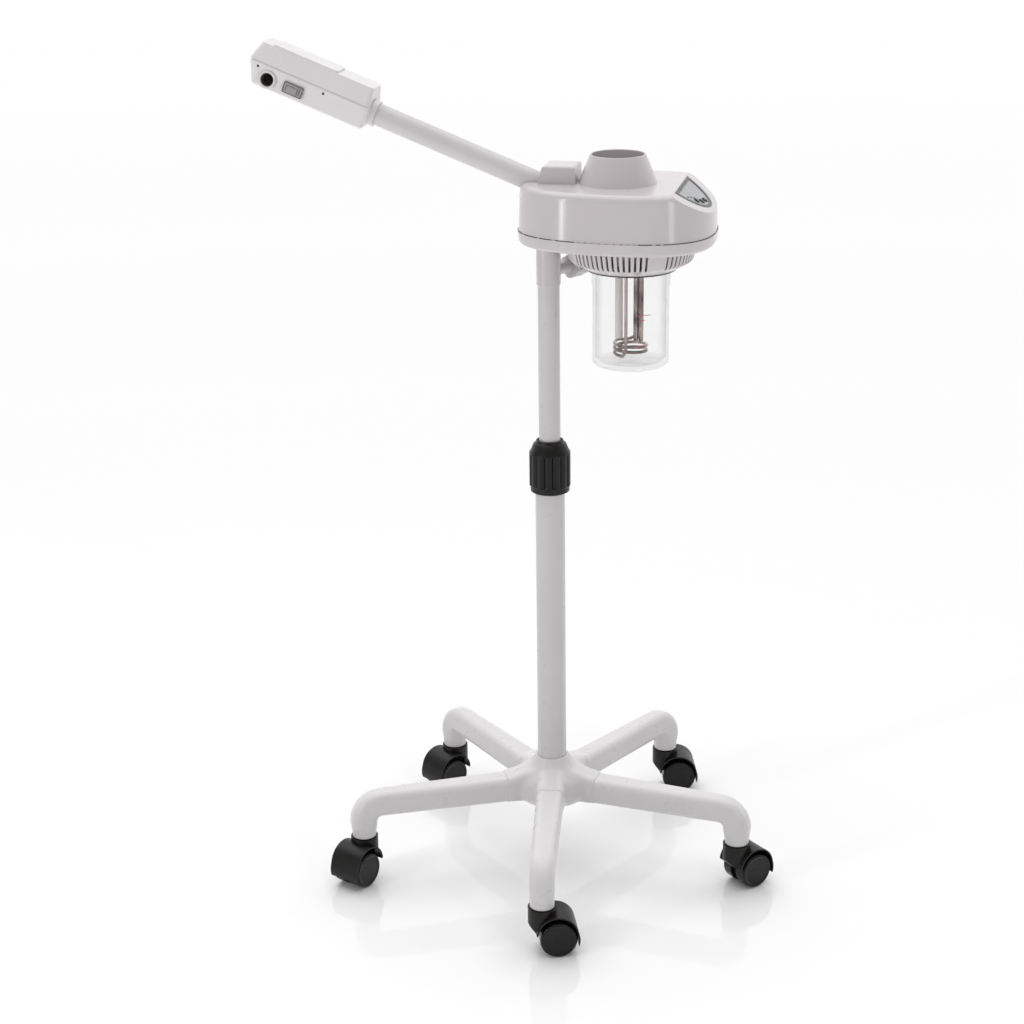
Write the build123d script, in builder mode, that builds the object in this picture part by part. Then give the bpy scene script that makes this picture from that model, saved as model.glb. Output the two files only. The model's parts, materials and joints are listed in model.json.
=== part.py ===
from build123d import *
import math
import os

os.makedirs("parts", exist_ok=True)

# Facial steamer on a rolling star base. Millimetres, +Z up, origin on the floor under the pole.
# +X points to the control panel, -X to the steam nozzle, -Y to the front.

# ---------------------------------------------------------------- driving sizes

# fits
turning_gap = 0.06  # radial clearance of a shaft turning or sliding in its bore
seat_gap = 0.05  # clearance of a piece that is pushed into a fixed seat
body_gap = 0.4  # clearance between neighbours that move past each other

# castors
wheel_radius = 21.5
wheel_width = 15.4
wheel_edge = 3.0
castor_trail = 17.0  # swivel axis to wheel axis
web_width = 8.0  # plate between the two wheels
hood_wall = 1.8
hood_gap = 1.2  # wheel to hood
hood_rise = 5.5  # crown of the hood above the circle round the wheel
hood_lean = 1.5  # how far the hood leans back over the wheels
axle_cover = 5.0  # axle to the foot of the castor neck
hood_tip = 14.0  # floor to the lower edge of the hood
hood_end_gap = 0.8  # wheel face to the open side of the hood
wheel_face_gap = 0.6  # web to wheel
axle_radius = 3.0
castor_neck_radius = 16.5
castor_stem_radius = 5.5
castor_stem_flange = 9.0
castor_headroom = 5.7  # hood top to neck top
castor_neck_skirt = 20.0  # straight part of the neck on its leading side
castor_stem_depth = 11.5  # part of the stem inside the neck
castor_stem_rise = 22.0  # part of the stem inside the leg
leg_clearance = 1.0  # castor neck to the mouth of the leg
castor_headings = (18, 45, 14, -128, -114)  # trailing direction of each castor, degrees

# star base
leg_count = 5
first_leg_heading = -82.15
leg_reach = 238.0  # pole axis to castor swivel axis
leg_root_reach = 60.0  # pole axis to the seam between hub and leg
leg_root_width = 33.0
leg_tip_width = 29.0
leg_depth = 32.0
leg_bend_radius = 6.0  # inside of the bend at the tip
leg_mouth_radius = 14.3
leg_stem_height = 25.0  # castor mouth to the underside of the leg
spigot_length = 26.0
spigot_width = 22.0
spigot_height = 20.0
hub_radius = 44.0
hub_height = 56.0
hub_lip_width = 3.0
hub_floor = 11.0

# pole
lower_tube_radius = 17.45
lower_tube_wall = 1.5
lower_tube_length = 400.0
upper_tube_radius = 12.7
upper_tube_wall = 1.5
upper_tube_length = 548.0
bolt_radius = 4.0
bolt_washer = 1.6
bolt_head = 5.0
bolt_engagement = 6.0  # length of the bolt inside the foot of the pole
bush_depth = 60.0  # part of the bush inside the lower tube
bush_finger = 28.0  # part of the bush inside the collar
collar_radius = 24.5
collar_height = 64.0
collar_overlap = 14.0  # part of the collar below the top of the lower tube
collar_flutes = 12

# steamer head
head_bottom = 780.0  # underside of the lower housing above the floor
head_centre = 80.0  # pole axis to the middle of the housing
head_half_length = 113.0
head_half_width = 90.0
head_squareness = 2.55  # exponent of the rounded plan outline
head_taper = 0.1  # how much wider the panel end is
lower_housing_height = 14.5
upper_housing_height = 52.5
lower_lip = 1.5  # how far the lower shell stands proud of the upper one
shell_wall = 2.5
side_draft = 2.0  # how far the walls lean in over their height
lower_edge_radius = 6.0
upper_edge_radius = 9.0
chimney_rim_radius = 31.3
chimney_base_radius = 44.6
chimney_height = 32.0
chimney_wall = 2.2
chimney_foot = 3.0  # width of the ring that stands on the shell

# control panel facet
facet_start = 150.0  # where the slope leaves the flat top
facet_angle = 34.0
panel_half_chord = 52.0
panel_depth = 43.0
panel_thickness = 1.6
panel_border = 4.0
button_radius = 3.4
button_travel = 0.8

# boiler and jar
jar_centre = 95.3
jar_radius = 43.8
jar_height = 111.8
jar_wall = 3.0
jar_base = 6.0
jar_band_height = 20.0
jar_band_proud = 1.0
gasket_height = 3.0
gasket_radius = 51.5
boiler_top_drop = 27.5  # underside of the housing down to the top of the gasket
flange_thickness = 7.0
dome_radius = 38.0
dome_height = 36.0
coil_radius = 19.5
coil_wire_radius = 2.6
coil_pitch = 6.0
coil_turns = 2.5
coil_clearance = 4.0  # jar floor to the lowest turn
probe_radius = 4.6
hose_radius = 8.5
hose_bore = 6.0
hose_bend = 14.0

# vent basket
basket_top_radius = 75.5
basket_bottom_radius = 54.0
basket_wall = 2.2
slot_count = 72
slot_width = 2.6
slot_gap_heading = -57.7  # middle of the first plain stretch between the slots
slots_left_out = 3

# power inlet, on the back wall of the head
inlet_x = 95.0
inlet_rise = 20.0  # parting line to the middle of the inlet
inlet_width = 31.0
inlet_height = 23.0
inlet_wall = 3.5
inlet_projection = 20.0
inlet_depth = 16.0
inlet_pin_recess = 2.0

# pole socket and clamp
socket_radius = 14.0
socket_drop = 52.0  # part of the socket below the housing
socket_rise = 25.0  # part of the socket inside the housing
socket_cap = 4.0
socket_flange_radius = 20.0
clamp_heading = 60.0
clamp_drop = 38.0
clamp_boss_reach = 36.0
clamp_screw_radius = 3.0
clamp_knob_radius = 13.5
clamp_knob_length = 20.0

# steam arm
pivot_drop = 14.8  # flat top of the housing down to the pivot
arm_angle = 21.8
arm_radius = 12.7
arm_wall = 1.6
knuckle_radius = 16.5
knuckle_width = 27.0
ear_width = 3.6
trunnion_radius = 4.0
cover_length = 43.0
cover_half_width = 21.0
cover_height = 19.5
cover_lean = 5.5  # how far the left face leans to the right at its top
cover_wall = 2.5
arm_slot_half_width = 14.5
arm_slot_floor = 22.0  # flat top of the housing down to the floor of the slot

# nozzle
nozzle_start = 238.0  # pivot to the near end of the nozzle, along the arm
nozzle_length = 147.0
nozzle_undercut = 10.0  # how far the far end slopes in towards the underside
nozzle_width = 56.0
nozzle_below = 18.0  # arm axis to the underside
nozzle_above = 9.6  # arm axis to the parting line
nozzle_top = 29.0  # arm axis to the top of the lid
nozzle_top_width = 36.0
lid_end_slope = 9.0  # how much shorter the top of the lid is than its foot
lid_arm_room = 4.0  # clear length past the end of the arm
nozzle_wall = 2.4
arm_insertion = 24.0
neck_radius = 15.2
neck_length = 7.0
outlet_radius = 7.6
outlet_ring_radius = 10.4
outlet_from_end = 27.6
outlet_height = -6.8  # outlet from the arm axis
tray_from_end = 59.5
tray_height_offset = -5.9
tray_width = 24.0
tray_height = 13.0
tray_depth = 22.0
lamp_radius = 7.0
lamp_length = 60.0
lamp_from_end = 42.0
lamp_offset = 10.0  # arm axis to the lamp, towards the back

# ------------------------------------------------------- levels worked out from them

hood_inner_radius = wheel_radius + hood_gap
hood_radius = hood_inner_radius + hood_wall
hood_top = wheel_radius + hood_rise + hood_radius
castor_neck_top = hood_top + castor_headroom
castor_height = castor_neck_top + leg_clearance  # floor to the mouth of the leg
leg_underside = castor_height + leg_stem_height
leg_middle = leg_underside + leg_depth / 2
hub_bottom = leg_underside - 2.0
hub_top = hub_bottom + hub_height
pole_foot = hub_bottom + hub_floor
lower_tube_top = pole_foot + lower_tube_length
collar_bottom = lower_tube_top - collar_overlap
collar_top = collar_bottom + collar_height
parting = head_bottom + lower_housing_height
head_top = parting + upper_housing_height
gasket_top = head_bottom - boiler_top_drop
jar_top = gasket_top - gasket_height
jar_bottom = jar_top - jar_height
pivot_z = head_top - pivot_drop
cover_right = head_centre - chimney_base_radius - body_gap
cover_left = cover_right - cover_length
pivot_x = cover_right - knuckle_radius - 0.5
upper_tube_top = head_bottom + socket_rise - socket_cap - body_gap
arm_cos = math.cos(math.radians(arm_angle))
arm_sin = math.sin(math.radians(arm_angle))


def save(piece, name):
    """Labels a finished piece and writes it as its own file."""
    piece.part.label = name
    export_step(piece.part, f"parts/{name}.step")


# ------------------------------------------------------------------- castors

# Each castor is drawn with its swivel axis on Z and its wheels trailing to +X.
wheel_inner_face = web_width / 2 + wheel_face_gap
wheel_outer_face = wheel_inner_face + wheel_width
axle_half_length = wheel_outer_face - 4.0
hood_arcs = [(castor_trail, wheel_radius), (castor_trail - hood_lean, wheel_radius + hood_rise)]
neck_skirt_level = castor_neck_top - castor_neck_skirt
neck_foot = wheel_radius + axle_cover

with BuildPart() as castor_housing_shape:
    with BuildSketch(Plane.XZ):
        with Locations(hood_arcs):
            Circle(hood_radius)
        make_hull()
        with Locations((castor_trail, 0)):
            Rectangle(4 * hood_radius, 2 * hood_tip, mode=Mode.SUBTRACT)
    extrude(amount=wheel_outer_face + hood_end_gap, both=True)
    with BuildSketch(Plane.XY.offset(neck_foot)):
        Circle(castor_neck_radius)
    extrude(amount=castor_neck_top - neck_foot)
    for side in (1, -1):
        with BuildSketch(Plane.XZ.offset(side * web_width / 2)):
            with Locations(hood_arcs):
                Circle(hood_inner_radius)
            make_hull()
            with Locations((castor_trail, 0)):
                Rectangle(2 * hood_inner_radius, 2 * wheel_radius)
        extrude(amount=side * 2 * wheel_width, mode=Mode.SUBTRACT)
    # the leading side slopes from the neck down to the wheels
    with BuildSketch(Plane.XZ):
        with BuildLine():
            Polyline(
                (-castor_neck_radius, neck_skirt_level),
                (castor_trail - castor_neck_radius, neck_skirt_level - castor_trail),
                (castor_trail - castor_neck_radius, 0),
                (-2 * castor_neck_radius, 0),
                (-2 * castor_neck_radius, neck_skirt_level),
                (-castor_neck_radius, neck_skirt_level),
            )
        make_face()
    extrude(amount=2 * wheel_width, both=True, mode=Mode.SUBTRACT)
    with BuildSketch(Plane.XZ):
        with Locations((castor_trail, wheel_radius)):
            Circle(axle_radius + seat_gap)
    extrude(amount=web_width, both=True, mode=Mode.SUBTRACT)
    with BuildSketch(Plane.XY.offset(castor_neck_top)):
        Circle(castor_stem_radius + turning_gap)
    extrude(amount=-castor_stem_depth - leg_clearance, mode=Mode.SUBTRACT)

with BuildPart() as wheel_shape:
    # The wheel turns about Y, so its profile is drawn radius against width.
    with BuildSketch(Plane.XY):
        with BuildLine():
            Polyline(
                (0, axle_half_length + 0.4),
                (axle_radius + turning_gap, axle_half_length + 0.4),
                (axle_radius + turning_gap, wheel_inner_face),
                (wheel_radius - 1.0, wheel_inner_face),
                (wheel_radius, wheel_inner_face + 1.0),
                (wheel_radius, wheel_outer_face - wheel_edge),
            )
            ThreePointArc(
                (wheel_radius, wheel_outer_face - wheel_edge),
                (wheel_radius - 0.3 * wheel_edge, wheel_outer_face - 0.3 * wheel_edge),
                (wheel_radius - wheel_edge, wheel_outer_face),
            )
            Polyline(
                (wheel_radius - wheel_edge, wheel_outer_face),
                (wheel_radius - wheel_edge - 2.0, wheel_outer_face - 0.8),
                (0, wheel_outer_face - 0.8),
                (0, axle_half_length + 0.4),
            )
        make_face()
    revolve(axis=Axis.Y)

with BuildPart() as axle_shape:
    with BuildSketch(Plane.XZ):
        Circle(axle_radius)
    extrude(amount=axle_half_length, both=True)

for number in range(leg_count):
    leg_heading = first_leg_heading + number * 360 / leg_count
    castor_x = leg_reach * math.cos(math.radians(leg_heading))
    castor_y = leg_reach * math.sin(math.radians(leg_heading))
    castor_place = Location((castor_x, castor_y, 0), (0, 0, castor_headings[number]))
    axle_place = castor_place * Location((castor_trail, 0, wheel_radius))
    prefix = f"castor_{number + 1}"

    with BuildPart() as castor_housing:
        with Locations(castor_place):
            add(castor_housing_shape.part)
    save(castor_housing, f"{prefix}_housing")

    with BuildPart() as castor_axle:
        with Locations(axle_place):
            add(axle_shape.part)
    save(castor_axle, f"{prefix}_axle")

    with BuildPart() as left_wheel:
        with Locations(axle_place):
            add(wheel_shape.part)
    save(left_wheel, f"{prefix}_wheel_left")

    with BuildPart() as right_wheel:
        with Locations(axle_place * Location((0, 0, 0), (0, 0, 180))):
            add(wheel_shape.part)
    save(right_wheel, f"{prefix}_wheel_right")

with BuildPart() as castor_stems:
    with BuildSketch(Plane.XY.offset(castor_neck_top - castor_stem_depth)):
        with PolarLocations(leg_reach, leg_count, start_angle=first_leg_heading):
            Circle(castor_stem_radius)
    extrude(amount=castor_stem_depth + leg_clearance + castor_stem_rise)
    with BuildSketch(Plane.XY.offset(castor_neck_top + body_gap)):
        with PolarLocations(leg_reach, leg_count, start_angle=first_leg_heading):
            Circle(castor_stem_flange)
    extrude(amount=leg_clearance - body_gap)

# ------------------------------------------------------------------ star base

bend_x = leg_reach - leg_bend_radius - leg_depth / 2
bend_z = leg_underside - leg_bend_radius

with BuildPart() as leg_shape:
    # A straight run out to the bend, the bend itself, and the stem down to the castor.
    with BuildSketch(Plane.YZ.offset(leg_root_reach)):
        with Locations((0, leg_middle)):
            RectangleRounded(leg_root_width, leg_depth, 9.0)
    with BuildSketch(Plane.YZ.offset(bend_x)):
        with Locations((0, leg_middle)):
            RectangleRounded(leg_tip_width, leg_depth, 11.0)
    loft()
    with BuildSketch(Plane.YZ.offset(bend_x)):
        with Locations((0, leg_middle)):
            RectangleRounded(leg_tip_width, leg_depth, 11.0)
    revolve(axis=Axis((bend_x, 0, bend_z), (0, 1, 0)), revolution_arc=90)
    with BuildSketch(Plane.XY.offset(bend_z)):
        with Locations((leg_reach, 0)):
            RectangleRounded(leg_depth, leg_tip_width, 11.0)
    with BuildSketch(Plane.XY.offset(castor_height)):
        with Locations((leg_reach, 0)):
            Circle(leg_mouth_radius)
    loft()
    with BuildSketch(Plane.YZ.offset(leg_root_reach - spigot_length)):
        with Locations((0, leg_middle)):
            RectangleRounded(spigot_width, spigot_height, 3.0)
    extrude(amount=spigot_length + 5.0)
    with BuildSketch(Plane.XY.offset(castor_height)):
        with Locations((leg_reach, 0)):
            Circle(castor_stem_radius + seat_gap)
    extrude(amount=22.5, mode=Mode.SUBTRACT)

for number in range(leg_count):
    with BuildPart() as base_leg:
        add(leg_shape.part, rotation=(0, 0, first_leg_heading + number * 360 / leg_count))
    save(base_leg, f"base_leg_{number + 1}")

with BuildPart() as hub_arm:
    with BuildSketch(Plane.YZ.offset(lower_tube_radius)):
        with Locations((0, hub_bottom + 0.42 * hub_height)):
            RectangleRounded(leg_root_width + 5.0, 0.84 * hub_height, 9.0)
    with BuildSketch(Plane.YZ.offset(leg_root_reach)):
        with Locations((0, leg_middle)):
            RectangleRounded(leg_root_width + 1.0, leg_depth + 1.0, 9.0)
    loft()

with BuildPart() as hub_pocket:
    with BuildSketch(Plane.YZ.offset(leg_root_reach - spigot_length - 0.5)):
        with Locations((0, leg_middle)):
            RectangleRounded(spigot_width + 2 * seat_gap, spigot_height + 2 * seat_gap, 3.0)
    extrude(amount=spigot_length + 5.0)

with BuildPart() as base_hub:
    with BuildSketch(Plane.XZ):
        with BuildLine():
            Polyline(
                (lower_tube_radius + hub_lip_width, hub_top),
                (0, hub_top),
                (0, hub_bottom),
                (hub_radius - 5.0, hub_bottom),
                (hub_radius, hub_bottom + 5.0),
                (hub_radius, leg_underside + leg_depth - 4.0),
            )
            ThreePointArc(
                (hub_radius, leg_underside + leg_depth - 4.0),
                (lower_tube_radius + 11.5, hub_top - 13.0),
                (lower_tube_radius + hub_lip_width, hub_top),
            )
        make_face()
    revolve(axis=Axis.Z)
    with PolarLocations(0, leg_count, start_angle=first_leg_heading):
        add(hub_arm.part)
    with PolarLocations(0, leg_count, start_angle=first_leg_heading):
        add(hub_pocket.part, mode=Mode.SUBTRACT)
    with BuildSketch(Plane.XY.offset(pole_foot)):
        Circle(lower_tube_radius + seat_gap)
    extrude(amount=hub_height, mode=Mode.SUBTRACT)
    with BuildSketch(Plane.XY.offset(hub_bottom)):
        Circle(bolt_radius + 0.4)
    extrude(amount=hub_floor, mode=Mode.SUBTRACT)
save(base_hub, "base_hub")

# the five castor stems and the bolt under the pole
with BuildPart() as base_fasteners:
    add(castor_stems.part)
    with BuildSketch(Plane.XY.offset(hub_bottom)):
        Circle(3 * bolt_radius)
    extrude(amount=-bolt_washer)
    with BuildSketch(Plane.XY.offset(hub_bottom - bolt_washer)):
        RegularPolygon(1.85 * bolt_radius, 6)
    extrude(amount=-bolt_head)
    with BuildSketch(Plane.XY.offset(hub_bottom - bolt_washer)):
        Circle(bolt_radius)
    extrude(amount=bolt_washer + hub_floor + bolt_engagement)
save(base_fasteners, "base_fasteners")

# ----------------------------------------------------------------------- pole

with BuildPart() as lower_tube:
    with BuildSketch(Plane.XY.offset(pole_foot)):
        Circle(lower_tube_radius)
    extrude(amount=lower_tube_length)
    with BuildSketch(Plane.XY.offset(pole_foot + 7.0)):
        Circle(lower_tube_radius - lower_tube_wall)
    extrude(amount=lower_tube_length, mode=Mode.SUBTRACT)
    with BuildSketch(Plane.XY.offset(pole_foot)):
        Circle(bolt_radius + seat_gap)
    extrude(amount=7.0, mode=Mode.SUBTRACT)
save(lower_tube, "lower_tube")

bush_outer = lower_tube_radius - lower_tube_wall - seat_gap
bush_inner = upper_tube_radius + turning_gap
finger_top = lower_tube_top + bush_finger

with BuildPart() as collar_bush:
    with BuildSketch(Plane.XZ):
        with BuildLine():
            Polyline(
                (bush_inner, lower_tube_top - bush_depth),
                (bush_outer, lower_tube_top - bush_depth),
                (bush_outer, lower_tube_top),
                (lower_tube_radius - 0.3, lower_tube_top),
                (lower_tube_radius - 0.3, lower_tube_top + 3.0),
                (bush_inner + 2.4, lower_tube_top + 3.0),
                (bush_inner + 1.4, finger_top),
                (bush_inner, finger_top),
                (bush_inner, lower_tube_top - bush_depth),
            )
        make_face()
    revolve(axis=Axis.Z)
    with BuildSketch(Plane.XY.offset(lower_tube_top + 5.0)):
        with PolarLocations(0, 2):
            Rectangle(4 * bush_inner, 1.6)
        with PolarLocations(0, 2, start_angle=90):
            Rectangle(4 * bush_inner, 1.6)
    extrude(amount=bush_finger, mode=Mode.SUBTRACT)
save(collar_bush, "collar_bush")

collar_bore = lower_tube_radius + turning_gap
with BuildPart() as twist_collar:
    with BuildSketch(Plane.XZ):
        with BuildLine():
            Polyline(
                (collar_bore, collar_bottom),
                (collar_radius - 4.5, collar_bottom),
                (collar_radius - 2.6, collar_bottom + 2.5),
                (collar_radius - 2.6, collar_bottom + 8.5),
                (collar_radius, collar_bottom + 11.5),
                (collar_radius, collar_top - 22.0),
                (collar_radius - 2.2, collar_top - 18.0),
                (collar_radius - 6.4, collar_top - 4.0),
                (collar_radius - 6.4, collar_top),
                (upper_tube_radius + 0.8, collar_top),
                (upper_tube_radius + 0.8, finger_top + 1.5),
                (bush_inner + 2.4 + body_gap, finger_top + 1.5),
                (bush_inner + 3.2 + body_gap, lower_tube_top + 3.0 + body_gap),
                (collar_bore, lower_tube_top + 3.0 + body_gap),
                (collar_bore, collar_bottom),
            )
        make_face()
    revolve(axis=Axis.Z)
    with BuildSketch(Plane.XY.offset(collar_bottom + 13.0)):
        with PolarLocations(collar_radius + 2.2, collar_flutes):
            Circle(3.6)
    extrude(amount=collar_height - 36.0, mode=Mode.SUBTRACT)
save(twist_collar, "twist_collar")

with BuildPart() as upper_tube:
    with BuildSketch(Plane.XY.offset(upper_tube_top - upper_tube_length)):
        Circle(upper_tube_radius)
        Circle(upper_tube_radius - upper_tube_wall, mode=Mode.SUBTRACT)
    extrude(amount=upper_tube_length)
save(upper_tube, "upper_tube")


# --------------------------------------------------------------- steamer head

def head_outline(inset):
    """Points of the rounded plan outline of the housing, a superellipse that widens to +X."""
    steps = 36
    power = 2 / head_squareness
    points = []
    for step in range(steps):
        turn = 2 * math.pi * (step + 0.5) / steps
        along = math.copysign(abs(math.cos(turn)) ** power, math.cos(turn))
        across = math.copysign(abs(math.sin(turn)) ** power, math.sin(turn))
        width = (head_half_width - inset) * (1 + head_taper * along)
        points.append((head_centre + (head_half_length - inset) * along, width * across))
    return points


def outline_sketch(height, inset):
    """The outline as a face at a height."""
    with BuildSketch(Plane.XY.offset(height)) as outline:
        with BuildLine():
            Spline(*head_outline(inset), periodic=True)
        make_face()
    return outline.sketch


def facet_plane(depth):
    """Plane of the panel facet, or parallel to it and deeper in the housing."""
    slope = math.radians(facet_angle)
    normal = (math.sin(slope), 0, math.cos(slope))
    along = (math.cos(slope), 0, -math.sin(slope))
    origin = (facet_start - depth * normal[0], 0, head_top - depth * normal[2])
    return Plane(origin=origin, x_dir=along, z_dir=normal)


# lower shell
with BuildPart() as lower_cavity:
    add(outline_sketch(head_bottom + shell_wall, side_draft + shell_wall))
    add(outline_sketch(parting, shell_wall))
    loft()
    fillet(lower_cavity.edges().group_by(Axis.Z)[0], radius=lower_edge_radius - shell_wall)

screw_places = [(-8, -46), (-8, 46), (158, -52), (158, 52)]

with BuildPart() as lower_housing:
    add(outline_sketch(head_bottom, side_draft))
    add(outline_sketch(parting, 0))
    loft()
    fillet(lower_housing.edges().group_by(Axis.Z)[0], radius=lower_edge_radius)
    add(lower_cavity.part, mode=Mode.SUBTRACT)
    with BuildSketch(Plane.XY.offset(head_bottom + shell_wall)):
        with Locations(screw_places):
            Circle(5.5)
    extrude(amount=lower_housing_height - shell_wall - body_gap)
    with BuildSketch(Plane.XY.offset(head_bottom)):
        with Locations(screw_places):
            Circle(2.2)
        Circle(socket_radius + seat_gap)
        with Locations((jar_centre, 0)):
            Circle(dome_radius + 3.0)
    extrude(amount=lower_housing_height, mode=Mode.SUBTRACT)
    with BuildSketch(Plane.XY.offset(head_bottom)):
        with Locations(screw_places):
            Circle(4.3)
    extrude(amount=8.0, mode=Mode.SUBTRACT)
save(lower_housing, "lower_housing")

# upper shell
with BuildPart() as upper_cavity:
    add(outline_sketch(parting, lower_lip + shell_wall))
    add(outline_sketch(head_top - shell_wall, lower_lip + side_draft + shell_wall))
    loft()
    fillet(upper_cavity.edges().group_by(Axis.Z)[-1], radius=upper_edge_radius - shell_wall)
    split(bisect_by=facet_plane(shell_wall + panel_thickness), keep=Keep.BOTTOM)
    # posts for the housing screws, from the roof down to the parting line
    with BuildSketch(Plane.XY.offset(parting)):
        with Locations(screw_places):
            Circle(5.0)
    extrude(amount=upper_housing_height, mode=Mode.SUBTRACT)

arm_opening_right = pivot_x + knuckle_radius + body_gap
wide_opening = knuckle_width / 2 + body_gap + ear_width + seat_gap

with BuildPart() as panel_recess:
    with BuildSketch(facet_plane(panel_thickness)):
        with BuildLine():
            Line((1.5, -panel_half_chord), (1.5, panel_half_chord))
            ThreePointArc(
                (1.5, panel_half_chord), (panel_depth, 0), (1.5, -panel_half_chord)
            )
        make_face()
    extrude(amount=3 * panel_thickness)

button_places = [(26, -20), (31, -8), (33, 5)]
lens_places = [(16, -30), (19, -23), (22, -16)]

with BuildPart() as upper_housing:
    add(outline_sketch(parting, lower_lip))
    add(outline_sketch(head_top, lower_lip + side_draft))
    loft()
    fillet(upper_housing.edges().group_by(Axis.Z)[-1], radius=upper_edge_radius)
    split(bisect_by=facet_plane(0), keep=Keep.BOTTOM)
    add(upper_cavity.part, mode=Mode.SUBTRACT)
    # pilot holes of the screws, up the posts
    with BuildSketch(Plane.XY.offset(parting)):
        with Locations(screw_places):
            Circle(1.6 + seat_gap)
    extrude(amount=17.0, mode=Mode.SUBTRACT)
    # opening for the arm, from the knuckle out through the left end
    with BuildSketch(Plane.XZ):
        with BuildLine():
            Polyline(
                (arm_opening_right, head_top + 1.0),
                (arm_opening_right, pivot_z),
                (cover_left, head_top - arm_slot_floor),
                (head_centre - head_half_length - 10.0, head_top - arm_slot_floor),
                (head_centre - head_half_length - 10.0, head_top + 1.0),
                (arm_opening_right, head_top + 1.0),
            )
        make_face()
    extrude(amount=arm_slot_half_width, both=True, mode=Mode.SUBTRACT)
    with BuildSketch(Plane.XY.offset(head_top + 1.0)):
        with Locations(((cover_left + cover_right) / 2, 0)):
            Rectangle(cover_right - cover_left - 7.0, 2 * wide_opening)
    extrude(amount=-2 * shell_wall, mode=Mode.SUBTRACT)
    # seat of the control panel, with holes for the buttons
    add(panel_recess.part, mode=Mode.SUBTRACT)
    with BuildSketch(facet_plane(0)):
        with Locations(button_places):
            Circle(button_radius + 0.3)
    extrude(amount=-12.0, mode=Mode.SUBTRACT)
save(upper_housing, "upper_housing")

# tapered chimney around the filling well, on the flat top of the shell
with BuildPart() as chimney:
    with BuildSketch(Plane.XZ):
        with BuildLine():
            Polyline(
                (head_centre + chimney_base_radius, head_top),
                (head_centre + chimney_rim_radius, head_top + chimney_height),
                (head_centre + chimney_rim_radius - chimney_wall, head_top + chimney_height),
                (head_centre + chimney_base_radius - chimney_foot, head_top),
                (head_centre + chimney_base_radius, head_top),
            )
        make_face()
    revolve(axis=Axis((head_centre, 0, 0), (0, 0, 1)))
    fillet(chimney.faces().sort_by(Axis.Z)[-1].edges(), radius=0.4 * chimney_wall)
save(chimney, "chimney")

with BuildPart() as housing_screws:
    with BuildSketch(Plane.XY.offset(head_bottom + 5.0)):
        with Locations(screw_places):
            Circle(3.8)
    extrude(amount=3.0)
    with BuildSketch(Plane.XY.offset(head_bottom + 5.0)):
        with Locations(screw_places):
            Circle(1.6)
    extrude(amount=lower_housing_height + 9.0)
save(housing_screws, "housing_screws")

# ------------------------------------------------------------- control panel

with BuildPart() as panel_membrane:
    with BuildSketch(facet_plane(panel_thickness)):
        with BuildLine():
            Line((1.5 + panel_border, -panel_half_chord + 7.0), (1.5 + panel_border, panel_half_chord - 7.0))
            ThreePointArc(
                (1.5 + panel_border, panel_half_chord - 7.0),
                (panel_depth - panel_border, 0),
                (1.5 + panel_border, -panel_half_chord + 7.0),
            )
        make_face()
        with Locations(button_places):
            Circle(button_radius + 0.3, mode=Mode.SUBTRACT)
        with Locations(lens_places):
            Circle(1.3 + seat_gap, mode=Mode.SUBTRACT)
    extrude(amount=panel_thickness - 0.3)
save(panel_membrane, "panel_membrane")

with BuildPart() as panel_frame:
    with BuildSketch(facet_plane(panel_thickness)):
        with BuildLine():
            Line((1.5, -panel_half_chord + 0.1), (1.5, panel_half_chord - 0.1))
            ThreePointArc(
                (1.5, panel_half_chord - 0.1), (panel_depth - 0.1, 0), (1.5, -panel_half_chord + 0.1)
            )
        make_face()
        with BuildLine():
            Line((1.5 + panel_border, -panel_half_chord + 7.0), (1.5 + panel_border, panel_half_chord - 7.0))
            ThreePointArc(
                (1.5 + panel_border, panel_half_chord - 7.0),
                (panel_depth - panel_border, 0),
                (1.5 + panel_border, -panel_half_chord + 7.0),
            )
        make_face(mode=Mode.SUBTRACT)
    extrude(amount=panel_thickness + 0.4)
save(panel_frame, "panel_frame")

for button_place, button_name in zip(button_places, ("power_button", "steam_button", "ozone_button")):
    with BuildPart() as button:
        with BuildSketch(facet_plane(6.0)):
            with Locations(button_place):
                Circle(button_radius)
        extrude(amount=6.0 + button_travel + 0.2)
        fillet(button.faces().sort_by(Axis.Z)[-1].edges(), radius=0.5)
    save(button, button_name)

with BuildPart() as indicator_leds:
    with BuildSketch(facet_plane(panel_thickness)):
        with Locations(lens_places):
            Circle(1.3)
    extrude(amount=panel_thickness + 0.2)
save(indicator_leds, "indicator_leds")

board_depth = 12.0
with BuildPart() as control_board:
    with BuildSketch(facet_plane(board_depth)):
        with Locations((22, 0)):
            Rectangle(34, 64)
    extrude(amount=1.6)
    with BuildSketch(facet_plane(board_depth)):
        with Locations((10, -28), (10, 28)):
            Circle(2.5)
    extrude(amount=board_depth - shell_wall - panel_thickness)
save(control_board, "control_board")

# --------------------------------------------------------------- power inlet

inlet_z = parting + inlet_rise
inlet_face = head_half_width + inlet_projection

with BuildPart() as shell_outside:
    add(outline_sketch(parting, lower_lip))
    add(outline_sketch(head_top, lower_lip + side_draft))
    loft()

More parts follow.
